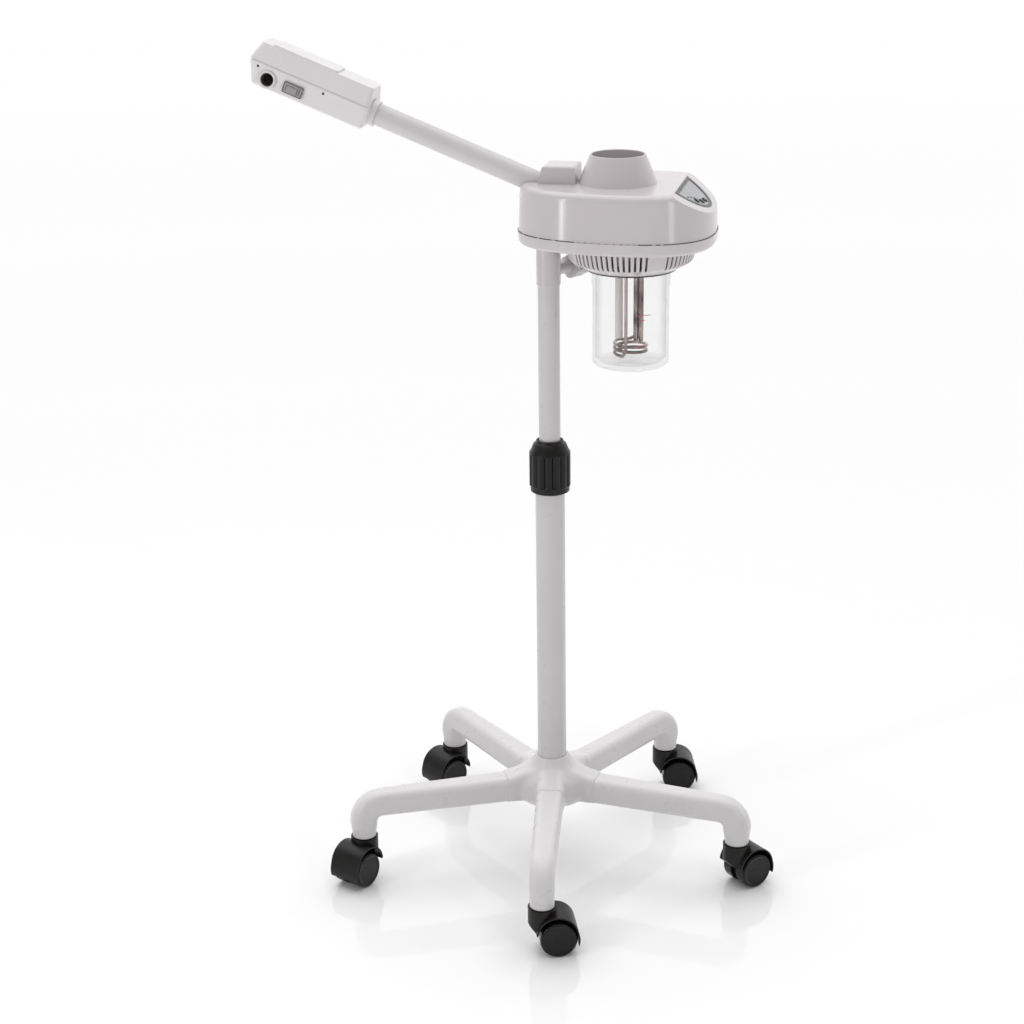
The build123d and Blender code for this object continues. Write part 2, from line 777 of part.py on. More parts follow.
# a block on the back wall, hollow towards the plug, with three pins
with BuildPart() as power_inlet:
    with BuildSketch(Plane.XZ.offset(-inlet_face)):
        with Locations((inlet_x, inlet_z)):
            RectangleRounded(inlet_width, inlet_height, 3.0)
    extrude(amount=2 * inlet_projection)
    add(shell_outside.part, mode=Mode.SUBTRACT)
    with BuildSketch(Plane.XZ.offset(-inlet_face)):
        with Locations((inlet_x, inlet_z)):
            RectangleRounded(inlet_width - 2 * inlet_wall, inlet_height - 2 * inlet_wall, 2.0)
    extrude(amount=inlet_depth, mode=Mode.SUBTRACT)
    with BuildSketch(Plane.XZ.offset(inlet_depth - inlet_face)):
        with Locations((inlet_x - 7, inlet_z - 2), (inlet_x + 7, inlet_z - 2), (inlet_x, inlet_z + 2)):
            Rectangle(2.0, 5.0)
    extrude(amount=-(inlet_depth - inlet_pin_recess))
save(power_inlet, "power_inlet")

# --------------------------------------------------------------- vent basket

basket_skirt_level = head_bottom - 0.7 * boiler_top_drop
basket_shoulder = basket_top_radius - 5.0


def basket_profile(inset, bottom):
    """Half section of a bowl round the boiler, drawn at an inset from the outer surface."""
    with BuildSketch(Plane.XZ) as profile:
        with BuildLine():
            Polyline(
                (jar_centre, bottom),
                (jar_centre, head_bottom),
                (jar_centre + basket_top_radius - inset, head_bottom),
                (jar_centre + basket_shoulder - inset, basket_skirt_level),
                (jar_centre + basket_bottom_radius - inset, gasket_top),
                (jar_centre + basket_bottom_radius - inset, bottom),
                (jar_centre, bottom),
            )
        make_face()
        shoulder = profile.vertices().filter_by_position(
            Axis.X, jar_centre + basket_shoulder - inset - 0.1, jar_centre + basket_shoulder - inset + 0.1
        )
        fillet(shoulder, radius=8.0 - inset)
    return profile.sketch


with BuildPart() as basket_cavity:
    add(basket_profile(basket_wall, gasket_top - 1.0))
    revolve(axis=Axis((jar_centre, 0, 0), (0, 0, 1)))

with BuildPart() as vent_basket:
    add(basket_profile(0, gasket_top - 0.9))
    revolve(axis=Axis((jar_centre, 0, 0), (0, 0, 1)))
    add(basket_cavity.part, mode=Mode.SUBTRACT)
    slots_per_side = slot_count // 4 - slots_left_out
    slot_pitch = 360 / slot_count
    with BuildSketch(Plane.XY.offset(gasket_top + 5.0)):
        for quarter in range(4):
            first = slot_gap_heading + 90 * quarter + slot_pitch * (slots_left_out + 1) / 2
            with Locations((jar_centre, 0)):
                with PolarLocations(
                    basket_top_radius - 2.0,
                    slots_per_side,
                    start_angle=first,
                    angular_range=slot_pitch * slots_per_side,
                ):
                    Rectangle(16.0, slot_width)
    extrude(amount=boiler_top_drop - 7.0, mode=Mode.SUBTRACT)
save(vent_basket, "vent_basket")

# ----------------------------------------------------------- boiler and heater

with BuildPart() as jar_gasket:
    with BuildSketch(Plane.XY.offset(jar_top)):
        with Locations((jar_centre, 0)):
            Circle(gasket_radius)
            Circle(jar_radius - 6.0, mode=Mode.SUBTRACT)
    extrude(amount=gasket_height)
save(jar_gasket, "jar_gasket")

dome_top = gasket_top + flange_thickness + dome_height
spigot_x = jar_centre - dome_radius + 9.0
leg_spots = [(coil_radius, 0), (-coil_radius, 0)]
probe_spot = (-12.0, -10.0)

with BuildPart() as heater_flange:
    with BuildSketch(Plane.XY.offset(gasket_top)):
        with Locations((jar_centre, 0)):
            Circle(gasket_radius - 0.3)
            Circle(6.0, mode=Mode.SUBTRACT)
            with Locations(leg_spots):
                Circle(coil_wire_radius + seat_gap, mode=Mode.SUBTRACT)
            with Locations(probe_spot):
                Circle(probe_radius + seat_gap, mode=Mode.SUBTRACT)
    extrude(amount=flange_thickness)
    with BuildSketch(Plane.XY.offset(gasket_top + flange_thickness)):
        with Locations((jar_centre, 0)):
            with PolarLocations(dome_radius + 8.0, 3):
                Circle(4.0)
    extrude(amount=boiler_top_drop - flange_thickness)
    with BuildSketch(Plane.XY.offset(gasket_top + flange_thickness)):
        with Locations((jar_centre, 0)):
            Circle(dome_radius)
    extrude(amount=dome_height)
    with BuildSketch(Plane.XY.offset(gasket_top + flange_thickness)):
        with Locations((jar_centre, 0)):
            Circle(dome_radius - 2.5)
    extrude(amount=dome_height - 2.5, mode=Mode.SUBTRACT)
    with BuildSketch(Plane.XY.offset(dome_top - 1.0)):
        with Locations((spigot_x, 0)):
            Circle(hose_bore)
    extrude(amount=13.0)
    with BuildSketch(Plane.XY.offset(dome_top - 4.0)):
        with Locations((spigot_x, 0)):
            Circle(hose_bore - 2.0)
    extrude(amount=18.0, mode=Mode.SUBTRACT)
save(heater_flange, "heater_flange")

coil_bottom = jar_bottom + jar_base + coil_clearance + coil_wire_radius
coil_height = coil_pitch * coil_turns
coil_top = coil_bottom + coil_height
leg_top = gasket_top + flange_thickness + 6.0

with BuildPart() as heater_coil:
    with BuildLine() as coil_path:
        Helix(coil_pitch, coil_height, coil_radius, center=(jar_centre, 0, coil_bottom))
    with BuildSketch(Plane(origin=coil_path.edges()[0] @ 0, z_dir=coil_path.edges()[0] % 0)):
        Circle(coil_wire_radius)
    sweep(path=coil_path.edges()[0], is_frenet=True)
    for (spot_x, spot_y), foot in zip(leg_spots, (coil_bottom, coil_top)):
        with Locations((jar_centre + spot_x, spot_y, foot)):
            Sphere(coil_wire_radius)
        with BuildSketch(Plane.XY.offset(foot)):
            with Locations((jar_centre + spot_x, spot_y)):
                Circle(coil_wire_radius)
        extrude(amount=leg_top - foot)
save(heater_coil, "heater_coil")

with BuildPart() as level_probe:
    with BuildSketch(Plane.XY.offset(coil_top + 2 * coil_wire_radius)):
        with Locations((jar_centre + probe_spot[0], probe_spot[1])):
            Circle(probe_radius)
    extrude(amount=leg_top - coil_top - 2 * coil_wire_radius)
save(level_probe, "level_probe")

hose_level = pivot_z - 7.0
hose_end = pivot_x + knuckle_radius + 2.5
with BuildPart() as steam_hose:
    with BuildLine() as hose_path:
        FilletPolyline(
            (spigot_x, 0, dome_top),
            (spigot_x, 0, hose_level),
            (hose_end, 0, hose_level),
            radius=hose_bend,
        )
    with BuildSketch(Plane.XY.offset(dome_top)):
        with Locations((spigot_x, 0)):
            Circle(hose_radius)
            Circle(hose_bore + seat_gap, mode=Mode.SUBTRACT)
    sweep(path=hose_path.wire())
save(steam_hose, "steam_hose")

with BuildPart() as glass_jar:
    jar_outer = jar_centre + jar_radius
    band_outer = jar_outer + jar_band_proud
    with BuildSketch(Plane.XZ):
        with BuildLine():
            Polyline(
                (jar_centre, jar_bottom),
                (jar_outer - 9.0, jar_bottom),
                (jar_outer - 3.0, jar_bottom + 1.0),
                (jar_outer, jar_bottom + 4.0),
                (jar_outer, jar_top - jar_band_height),
                (band_outer, jar_top - jar_band_height + 1.5),
                (band_outer, jar_top),
                (jar_outer - jar_wall, jar_top),
                (jar_outer - jar_wall, jar_bottom + jar_base + 4.0),
                (jar_outer - jar_wall - 4.0, jar_bottom + jar_base),
                (jar_centre, jar_bottom + jar_base),
                (jar_centre, jar_bottom),
            )
        make_face()
    revolve(axis=Axis((jar_centre, 0, 0), (0, 0, 1)))
    with BuildSketch(Plane.XY.offset(jar_bottom)):
        with Locations((jar_centre, 0)):
            with PolarLocations(jar_radius - 13.0, 4, start_angle=-60):
                Circle(2.5)
    extrude(amount=-2.0)
save(glass_jar, "glass_jar")

# ------------------------------------------------------- pole socket and clamp

clamp_turn = math.radians(clamp_heading)
clamp_direction = (math.cos(clamp_turn), math.sin(clamp_turn), 0)
clamp_z = head_bottom - clamp_drop


def clamp_plane(reach):
    """Plane across the clamp screw, at a distance from the pole axis."""
    origin = (reach * clamp_direction[0], reach * clamp_direction[1], clamp_z)
    return Plane(origin=origin, z_dir=clamp_direction)


with BuildPart() as pole_socket:
    with BuildSketch(Plane.XY.offset(head_bottom - socket_drop)):
        Circle(socket_radius)
    extrude(amount=socket_drop + socket_rise)
    with BuildSketch(Plane.XY.offset(head_bottom + shell_wall)):
        Circle(socket_flange_radius)
    extrude(amount=3.0)
    with BuildSketch(clamp_plane(0)):
        Circle(6.5)
    extrude(amount=clamp_boss_reach)
    with BuildSketch(Plane.XY.offset(head_bottom - socket_drop)):
        Circle(upper_tube_radius + turning_gap)
    extrude(amount=socket_drop + socket_rise - socket_cap, mode=Mode.SUBTRACT)
    with BuildSketch(clamp_plane(0)):
        Circle(clamp_screw_radius + turning_gap)
    extrude(amount=clamp_boss_reach, mode=Mode.SUBTRACT)
save(pole_socket, "pole_socket")

with BuildPart() as clamp_knob:
    with BuildSketch(clamp_plane(clamp_boss_reach + body_gap)):
        Circle(clamp_knob_radius)
        with PolarLocations(clamp_knob_radius + 2.5, 6):
            Circle(4.2, mode=Mode.SUBTRACT)
    extrude(amount=clamp_knob_length)
    with BuildSketch(clamp_plane(upper_tube_radius + 0.3)):
        Circle(clamp_screw_radius)
    extrude(amount=clamp_boss_reach - upper_tube_radius + 1.0)
save(clamp_knob, "clamp_knob")

# ------------------------------------------------------------------ steam arm

hollow_half_width = knuckle_width / 2 + body_gap

with BuildPart() as cover_hollow:
    with BuildSketch(Plane.XZ):
        with BuildLine():
            Polyline(
                (cover_left - 5.0, head_top - 30.0),
                (cover_right - cover_wall, head_top - 30.0),
                (cover_right - cover_wall, head_top + cover_height - cover_wall),
                (cover_left - 5.0, head_top + cover_height - cover_wall),
                (cover_left - 5.0, head_top - 30.0),
            )
        make_face()
    extrude(amount=hollow_half_width, both=True)

with BuildPart() as arm_cover:
    with BuildSketch(Plane.XZ):
        with BuildLine():
            Polyline(
                (cover_left, head_top),
                (cover_right, head_top),
                (cover_right, head_top + cover_height),
                (cover_left + cover_lean, head_top + cover_height),
                (cover_left, head_top),
            )
        make_face()
    extrude(amount=cover_half_width, both=True)
    fillet(arm_cover.edges().group_by(Axis.Z)[-1], radius=3.5)
    # ears that hang through the wide part of the opening and carry the knuckle
    with BuildSketch(Plane.XZ):
        with BuildLine():
            Polyline(
                (pivot_x - 8.0, head_top + 2.0),
                (pivot_x + 8.0, head_top + 2.0),
                (pivot_x + 8.0, pivot_z),
                (pivot_x + 4.0, pivot_z - 8.0),
                (pivot_x - 4.0, pivot_z - 8.0),
                (pivot_x - 8.0, pivot_z),
                (pivot_x - 8.0, head_top + 2.0),
            )
        make_face()
    extrude(amount=hollow_half_width + ear_width, both=True)
    add(cover_hollow.part, mode=Mode.SUBTRACT)
    with BuildSketch(Plane.XZ):
        with Locations((pivot_x, pivot_z)):
            Circle(trunnion_radius + turning_gap)
    extrude(amount=cover_half_width, both=True, mode=Mode.SUBTRACT)
save(arm_cover, "arm_cover")


def arm_section(distance):
    """Plane across the arm, at a distance from the pivot; its x runs to the front, its y up."""
    origin = (pivot_x - arm_cos * distance, 0, pivot_z + arm_sin * distance)
    return Plane(origin=origin, x_dir=(0, -1, 0), z_dir=(-arm_cos, 0, arm_sin))

with BuildPart() as arm_knuckle:
    with BuildSketch(Plane.XZ):
        with Locations((pivot_x, pivot_z)):
            Circle(knuckle_radius)
    extrude(amount=knuckle_width / 2, both=True)
    with BuildSketch(Plane.XZ):
        with Locations((pivot_x, pivot_z)):
            Circle(trunnion_radius)
    extrude(amount=knuckle_width / 2 + ear_width, both=True)
    # socket for the tube, and the steam passage from the hose
    with BuildSketch(arm_section(0)):
        Circle(arm_radius - arm_wall - 1.0)
    extrude(amount=knuckle_radius, mode=Mode.SUBTRACT)
    with BuildSketch(arm_section(4.0)):
        Circle(arm_radius + seat_gap)
    extrude(amount=2 * knuckle_radius, mode=Mode.SUBTRACT)
    with BuildSketch(Plane.YZ.offset(pivot_x)):
        with Locations((0, hose_level)):
            Circle(hose_bore)
    extrude(amount=2 * knuckle_radius, mode=Mode.SUBTRACT)
save(arm_knuckle, "arm_knuckle")

with BuildPart() as steam_arm:
    with BuildSketch(arm_section(4.0)):
        Circle(arm_radius)
        Circle(arm_radius - arm_wall, mode=Mode.SUBTRACT)
    extrude(amount=nozzle_start + arm_insertion - 4.0)
save(steam_arm, "steam_arm")

# --------------------------------------------------------------------- nozzle


def nozzle_front(from_axis):
    """Plane parallel to the nozzle's front face; its x runs towards the pole, its y up the nozzle."""
    end = nozzle_start + nozzle_length
    origin = (pivot_x - arm_cos * end, -from_axis, pivot_z + arm_sin * end)
    return Plane(origin=origin, x_dir=(arm_cos, 0, -arm_sin), z_dir=(0, -1, 0))


def nozzle_level(height):
    """Plane along the nozzle, at a height above the arm axis; its x runs towards the pole."""
    end = nozzle_start + nozzle_length
    origin = (
        pivot_x - arm_cos * end + arm_sin * height,
        0,
        pivot_z + arm_sin * end + arm_cos * height,
    )
    return Plane(origin=origin, x_dir=(arm_cos, 0, -arm_sin), z_dir=(arm_sin, 0, arm_cos))


half_width = nozzle_width / 2
far_screw_from_end = 12.6
screw_spacing = 80.8
screw_spots = [
    (far_screw_from_end, nozzle_above - 6.0),
    (far_screw_from_end + screw_spacing, nozzle_above - 6.0),
]

with BuildPart() as nozzle_hollow:
    with BuildSketch(nozzle_level(nozzle_wall - nozzle_below)):
        with Locations(((nozzle_length + nozzle_undercut) / 2, 0)):
            RectangleRounded(
                nozzle_length - nozzle_undercut - 2 * nozzle_wall, nozzle_width - 2 * nozzle_wall, 3.0
            )
    with BuildSketch(nozzle_level(nozzle_above)):
        with Locations((nozzle_length / 2, 0)):
            RectangleRounded(nozzle_length - 2 * nozzle_wall, nozzle_width - 2 * nozzle_wall, 3.0)
    loft()

with BuildPart() as nozzle_body:
    with BuildSketch(nozzle_level(-nozzle_below)):
        with Locations(((nozzle_length + nozzle_undercut) / 2, 0)):
            RectangleRounded(nozzle_length - nozzle_undercut, nozzle_width - 4.0, 5.0)
    with BuildSketch(nozzle_level(nozzle_above)):
        with Locations((nozzle_length / 2, 0)):
            RectangleRounded(nozzle_length, nozzle_width, 5.0)
    loft()
    fillet(nozzle_body.faces().sort_by(Axis.Z)[0].edges(), radius=3.0)
    add(nozzle_hollow.part, mode=Mode.SUBTRACT)
    # neck that turns on the arm
    with BuildSketch(arm_section(nozzle_start - neck_length)):
        Circle(neck_radius)
    extrude(amount=neck_length)
    with BuildSketch(arm_section(nozzle_start - neck_length)):
        Circle(arm_radius + turning_gap)
    extrude(amount=neck_length + 2 * nozzle_wall, mode=Mode.SUBTRACT)
    # steam outlet and the window of the aroma tray in the front wall
    with BuildSketch(nozzle_front(half_width)):
        with Locations((outlet_from_end, outlet_height)):
            Circle(outlet_radius + 1.2 + seat_gap)
        with Locations((tray_from_end, tray_height_offset)):
            Rectangle(tray_width - 4.0 + 2 * body_gap, tray_height - 3.0 + 2 * body_gap)
        with Locations(screw_spots):
            Circle(1.5)
    extrude(amount=-3 * nozzle_wall, mode=Mode.SUBTRACT)
save(nozzle_body, "nozzle_body")

with BuildPart() as lid_hollow:
    with BuildSketch(nozzle_level(nozzle_above - 1.0)):
        with Locations((nozzle_length / 2, 0)):
            RectangleRounded(nozzle_length - 2 * nozzle_wall, nozzle_width - 2 * nozzle_wall, 3.0)
    with BuildSketch(nozzle_level(nozzle_top - nozzle_wall)):
        with Locations((nozzle_length / 2 + 1.5, 0)):
            RectangleRounded(nozzle_length - lid_end_slope - 6.0, nozzle_top_width - nozzle_wall, 3.0)
    loft()

with BuildPart() as nozzle_lid:
    with BuildSketch(nozzle_level(nozzle_above)):
        with Locations((nozzle_length / 2, 0)):
            RectangleRounded(nozzle_length, nozzle_width, 5.0)
    with BuildSketch(nozzle_level(nozzle_top)):
        with Locations((nozzle_length / 2 + 1.5, 0)):
            RectangleRounded(nozzle_length - lid_end_slope, nozzle_top_width, 5.0)
    loft()
    with BuildSketch(nozzle_level(nozzle_above + 2.0)):
        with Locations((0.4 * nozzle_length, 0)):
            RectangleRounded(0.56 * nozzle_length, nozzle_width - 6.0, 4.0)
    with BuildSketch(nozzle_level(nozzle_top + 2.0)):
        with Locations((0.4 * nozzle_length, 0)):
            RectangleRounded(0.54 * nozzle_length, nozzle_top_width - 3.0, 4.0)
    loft()
    add(lid_hollow.part, mode=Mode.SUBTRACT)
    with BuildSketch(arm_section(nozzle_start - 1.0)):
        Circle(arm_radius + body_gap)
    extrude(amount=arm_insertion + lid_arm_room, mode=Mode.SUBTRACT)
save(nozzle_lid, "nozzle_lid")

with BuildPart() as outlet_ring:
    with BuildSketch(nozzle_front(half_width)):
        with Locations((outlet_from_end, outlet_height)):
            Circle(outlet_ring_radius)
            Circle(outlet_radius, mode=Mode.SUBTRACT)
    extrude(amount=1.6)
    with BuildSketch(nozzle_front(half_width)):
        with Locations((outlet_from_end, outlet_height)):
            Circle(outlet_radius + 1.2)
            Circle(outlet_radius, mode=Mode.SUBTRACT)
    extrude(amount=-12.0)
save(outlet_ring, "outlet_ring")

with BuildPart() as aroma_tray:
    with BuildSketch(nozzle_front(half_width + 0.1)):
        with Locations((tray_from_end, tray_height_offset)):
            RectangleRounded(tray_width, tray_height, 1.5)
    extrude(amount=1.6)
    with BuildSketch(nozzle_front(half_width + 0.1)):
        with Locations((tray_from_end, tray_height_offset)):
            Rectangle(tray_width - 4.0, tray_height - 3.0)
    extrude(amount=-tray_depth)
    with BuildSketch(nozzle_level(tray_height_offset)):
        with Locations((tray_from_end, -half_width + tray_depth / 2 + 1.0)):
            Rectangle(tray_width - 7.0, tray_depth - 5.0)
    extrude(amount=tray_height, mode=Mode.SUBTRACT)
save(aroma_tray, "aroma_tray")

with BuildPart() as ozone_lamp:
    with BuildSketch(nozzle_level(nozzle_wall - nozzle_below)):
        with Locations((lamp_from_end + 7.0, lamp_offset), (lamp_from_end + lamp_length - 7.0, lamp_offset)):
            Rectangle(5.0, 12.0)
    extrude(amount=nozzle_below - nozzle_wall - 2.0)
    with BuildSketch(arm_section(nozzle_start + nozzle_length - lamp_length - lamp_from_end)):
        with Locations((-lamp_offset, 0)):
            Circle(lamp_radius)
    extrude(amount=lamp_length)
save(ozone_lamp, "ozone_lamp")
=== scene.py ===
"""Looks of a facial steamer on a rolling star base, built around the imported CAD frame."""

import json
import math

import bmesh
import bpy
from mathutils import Matrix, Vector


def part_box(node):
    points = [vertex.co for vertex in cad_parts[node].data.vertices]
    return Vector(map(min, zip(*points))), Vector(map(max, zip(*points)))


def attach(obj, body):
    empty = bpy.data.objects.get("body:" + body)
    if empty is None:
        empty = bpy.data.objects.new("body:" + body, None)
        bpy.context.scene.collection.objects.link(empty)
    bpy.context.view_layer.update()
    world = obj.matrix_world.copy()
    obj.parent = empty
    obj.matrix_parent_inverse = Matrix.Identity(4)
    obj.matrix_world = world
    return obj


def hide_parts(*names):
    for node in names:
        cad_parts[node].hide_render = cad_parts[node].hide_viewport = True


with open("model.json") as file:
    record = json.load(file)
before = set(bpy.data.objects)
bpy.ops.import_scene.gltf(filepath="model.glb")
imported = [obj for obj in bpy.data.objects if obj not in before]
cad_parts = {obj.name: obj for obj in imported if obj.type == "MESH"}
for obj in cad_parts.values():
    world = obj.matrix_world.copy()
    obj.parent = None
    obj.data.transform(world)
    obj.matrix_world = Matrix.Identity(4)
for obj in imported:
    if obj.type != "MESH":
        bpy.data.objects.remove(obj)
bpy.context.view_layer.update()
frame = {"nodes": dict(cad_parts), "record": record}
nodes = frame["nodes"]
record = frame["record"]

# ------------------------------------------------------------------ materials


def new_material(name):
    """An empty node material with a shader and an output."""
    material = bpy.data.materials.new(name)
    material.use_nodes = True
    tree = material.node_tree
    tree.nodes.clear()
    out = tree.nodes.new("ShaderNodeOutputMaterial")
    shader = tree.nodes.new("ShaderNodeBsdfPrincipled")
    tree.links.new(shader.outputs["BSDF"], out.inputs["Surface"])
    return material, tree, shader


def noise(tree, scale, detail=4.0, rough=0.55, stretch=None):
    """Noise in object space, in metres."""
    place = tree.nodes.new("ShaderNodeTexCoord")
    tex = tree.nodes.new("ShaderNodeTexNoise")
    tex.inputs["Scale"].default_value = scale
    tex.inputs["Detail"].default_value = detail
    tex.inputs["Roughness"].default_value = rough
    if stretch:
        mapping = tree.nodes.new("ShaderNodeMapping")
        mapping.inputs["Scale"].default_value = stretch
        tree.links.new(place.outputs["Object"], mapping.inputs["Vector"])
        tree.links.new(mapping.outputs["Vector"], tex.inputs["Vector"])
    else:
        tree.links.new(place.outputs["Object"], tex.inputs["Vector"])
    return tex.outputs["Fac"]


def spread(tree, source, low, high):
    """Maps a 0.3 to 0.7 noise value to low..high."""
    node = tree.nodes.new("ShaderNodeMapRange")
    node.inputs["From Min"].default_value = 0.3
    node.inputs["From Max"].default_value = 0.7
    node.inputs["To Min"].default_value = low
    node.inputs["To Max"].default_value = high
    tree.links.new(source, node.inputs["Value"])
    return node.outputs["Result"]


def two_tone(tree, source, dark, light, low=0.3, high=0.7):
    """Colour between dark and light, by a noise value."""
    ramp = tree.nodes.new("ShaderNodeValToRGB")
    ramp.color_ramp.elements[0].position = low
    ramp.color_ramp.elements[0].color = (*dark, 1)
    ramp.color_ramp.elements[1].position = high
    ramp.color_ramp.elements[1].color = (*light, 1)
    tree.links.new(source, ramp.inputs["Fac"])
    return ramp.outputs["Color"]


def bump(tree, shader, source, strength, distance):
    """Raises the surface by a noise value; distance is in metres."""
    node = tree.nodes.new("ShaderNodeBump")
    node.inputs["Strength"].default_value = strength
    node.inputs["Distance"].default_value = distance
    tree.links.new(source, node.inputs["Height"])
    tree.links.new(node.outputs["Normal"], shader.inputs["Normal"])


def shade(color, factor):
    """The colour, lighter or darker by a factor."""
    return tuple(min(1.0, c * factor) for c in color)


def plastic(name, color, rough=0.3, mottling=0.05, grain=150.0, grain_depth=0.00002, specular=0.5):
    """Moulded plastic: faint mottling, uneven gloss and the fine skin of the mould."""
    material, tree, shader = new_material(name)
    mottle = noise(tree, 14.0, 5.0)
    color_out = two_tone(tree, mottle, shade(color, 1 - mottling), shade(color, 1 + mottling))
    tree.links.new(color_out, shader.inputs["Base Color"])
    gloss = spread(tree, noise(tree, 55.0, 3.0), rough * 0.85, rough * 1.2)
    tree.links.new(gloss, shader.inputs["Roughness"])
    shader.inputs["Specular IOR Level"].default_value = specular
    bump(tree, shader, noise(tree, grain, 1.0), 0.2, grain_depth)
    return material


def metal(name, color, rough=0.3, stretch=(1.0, 1.0, 12.0), tint=None, line_scale=420.0):
    """Drawn or plated metal with fine lines and a little staining."""
    material, tree, shader = new_material(name)
    shader.inputs["Metallic"].default_value = 1.0
    lines = noise(tree, line_scale, 3.0, 0.6, stretch)
    stains = noise(tree, 38.0, 6.0)
    color_out = two_tone(tree, stains, tint or shade(color, 0.82), shade(color, 1.06), 0.36, 0.6)
    tree.links.new(color_out, shader.inputs["Base Color"])
    tree.links.new(spread(tree, lines, rough * 0.8, rough * 1.35), shader.inputs["Roughness"])
    bump(tree, shader, lines, 0.15, 0.00002)
    return material


def painted_tube(name, color):
    """Powder coat: a fine orange peel under a satin gloss."""
    material, tree, shader = new_material(name)
    color_out = two_tone(tree, noise(tree, 9.0, 4.0), shade(color, 0.96), shade(color, 1.04))
    tree.links.new(color_out, shader.inputs["Base Color"])
    tree.links.new(spread(tree, noise(tree, 80.0), 0.26, 0.4), shader.inputs["Roughness"])
    bump(tree, shader, noise(tree, 220.0, 1.0), 0.2, 0.00002)
    return material


def clear(name, color, edge_color, rough=0.05, face_alpha=0.07, edge_alpha=0.75, ior=1.45):
    """Clear glass or plastic: nearly nothing face on, grey where the wall is seen along its length."""
    material, tree, shader = new_material(name)
    facing = tree.nodes.new("ShaderNodeLayerWeight")
    facing.inputs["Blend"].default_value = 0.32
    haze = noise(tree, 60.0, 4.0)
    ramp = tree.nodes.new("ShaderNodeValToRGB")
    ramp.color_ramp.elements[0].position = 0.25
    ramp.color_ramp.elements[0].color = (face_alpha, face_alpha, face_alpha, 1)
    ramp.color_ramp.elements[1].position = 0.95
    ramp.color_ramp.elements[1].color = (edge_alpha, edge_alpha, edge_alpha, 1)
    tree.links.new(facing.outputs["Facing"], ramp.inputs["Fac"])
    tree.links.new(ramp.outputs["Color"], shader.inputs["Alpha"])
    color_out = two_tone(tree, haze, shade(edge_color, 0.95), color)
    tree.links.new(color_out, shader.inputs["Base Color"])
    tree.links.new(spread(tree, haze, rough * 0.7, rough * 1.5), shader.inputs["Roughness"])
    shader.inputs["IOR"].default_value = ior
    return material


WHITE = (0.60, 0.565, 0.575)
BLACK = (0.0075, 0.0065, 0.0058)
looks = {
    "white_shell": plastic("white_shell", WHITE, 0.15, 0.02),
    "white_base": plastic("white_base", (0.66, 0.645, 0.65), 0.3, 0.02),
    "white_tube": painted_tube("white_tube", (0.63, 0.61, 0.617)),
    "black_castor": plastic("black_castor", BLACK, 0.36, 0.2, 400.0, 0.00003, 0.28),
    "black_wheel": plastic("black_wheel", BLACK, 0.3, 0.2, 400.0, 0.00003, 0.3),
    "black_collar": plastic("black_collar", BLACK, 0.33, 0.2, 400.0, 0.00003, 0.3),
    "bush": plastic("bush", (0.05, 0.05, 0.05), 0.5, 0.1),
    "steel": metal("steel", (0.62, 0.61, 0.6), 0.28),
    "coil_steel": metal("coil_steel", (0.42, 0.36, 0.34), 0.2, (1.0, 1.0, 1.0), (0.1, 0.065, 0.055), 90.0),
    "clear_glass": clear("clear_glass", (0.86, 0.87, 0.87), (0.6, 0.61, 0.61), 0.05, 0.05, 0.6),
    "seal_rubber": plastic("seal_rubber", (0.02, 0.016, 0.014), 0.55, 0.25, 1500.0, 0.0001),
    "probe_plastic": plastic("probe_plastic", (0.72, 0.69, 0.67), 0.35, 0.05),
    "hose_rubber": plastic("hose_rubber", (0.6, 0.59, 0.57), 0.5, 0.05),
    "panel_dark": plastic("panel_dark", (0.085, 0.085, 0.09), 0.4, 0.1),
    "panel_silver": plastic("panel_silver", (0.36, 0.37, 0.38), 0.32, 0.06),
    "led_lens": plastic("led_lens", (0.08, 0.03, 0.03), 0.2, 0.1),
    "button_dark": plastic("button_dark", (0.03, 0.03, 0.033), 0.5, 0.15),
    "circuit_board": plastic("circuit_board", (0.03, 0.13, 0.06), 0.4, 0.1),
    "inlet_black": plastic("inlet_black", (0.02, 0.02, 0.02), 0.45, 0.15),
    "outlet_brown": plastic("outlet_brown", (0.06, 0.035, 0.03), 0.35, 0.15),
    "tray_grey": plastic("tray_grey", (0.34, 0.325, 0.325), 0.4, 0.08),
    "lamp_glass": clear("lamp_glass", (0.85, 0.87, 0.9), (0.6, 0.62, 0.65), 0.2, 0.4, 0.8),
    "knob_white": plastic("knob_white", (0.62, 0.61, 0.6), 0.35, 0.03),
    # the record has no slots for these four
    "level_red": plastic("level_red", (0.55, 0.06, 0.05), 0.4, 0.15),
    "nozzle_white": plastic("nozzle_white", (0.76, 0.735, 0.745), 0.22, 0.02),
    "outlet_white": plastic("outlet_white", (0.7, 0.68, 0.68), 0.3, 0.03),
    # dark grey for the parting band: painted shadow of the gap between the shells
    "painted_gap_shade": plastic("painted_gap_shade", (0.09, 0.085, 0.085), 0.6, 0.1),
}


def dress(node, look):
    """Gives a CAD node its material."""
    nodes[node].data.materials.clear()
    nodes[node].data.materials.append(looks[look])


for part in record["subparts"]:
    dress(part["node"], part["material_slot"])

# ------------------------------------------------------------------ pieces


SHARP_ANGLE = math.radians(38)
WELD = 0.00001


def new_piece(name, mesh_data, look, body):
    """Adds a smooth-shaded mesh to the scene, riding on a body."""
    piece = bpy.data.objects.new(name, mesh_data)
    bpy.context.scene.collection.objects.link(piece)
    mesh_data.materials.clear()
    mesh_data.materials.append(looks[look])
    mesh_data.shade_smooth()
    mesh_data.set_sharp_from_angle(angle=SHARP_ANGLE)
    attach(piece, body)
    return piece


def mesh_from(name, vertices, faces):
    """A mesh from lists of places and faces."""
    data = bpy.data.meshes.new(name)
    data.from_pydata([tuple(v) for v in vertices], [], faces)
    data.validate()
    return data


